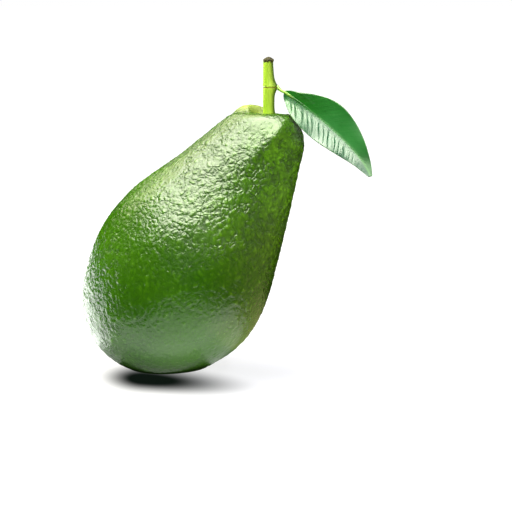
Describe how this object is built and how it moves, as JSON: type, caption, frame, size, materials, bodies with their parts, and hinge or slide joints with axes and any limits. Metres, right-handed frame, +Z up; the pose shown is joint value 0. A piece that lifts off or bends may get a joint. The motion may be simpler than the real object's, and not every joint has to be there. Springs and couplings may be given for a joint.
{
  "type": "avocado",
  "caption": "Whole green pear-shaped avocado as picked, leaning on a small flat spot, with its cut stem and a folded leaf.",
  "frame": {"origin": "middle of the small flat spot on the fruit's underside, where it rests", "axes": "+Z up; the neck and stem end lean towards +X; +Y is the fruit's back, so it is seen from -Y"},
  "size_m": [0.1141, 0.0733, 0.1228],
  "materials": {
    "skin": "pebbled green rind with a waxy gloss",
    "stem": "smooth yellow-green, brown at the cut end",
    "leaf": "smooth glossy green with pale veins"
  },
  "bodies": {
    "root": {"fruit": "skin", "stem": "stem", "leaf": "leaf"}
  },
  "joints": []
}
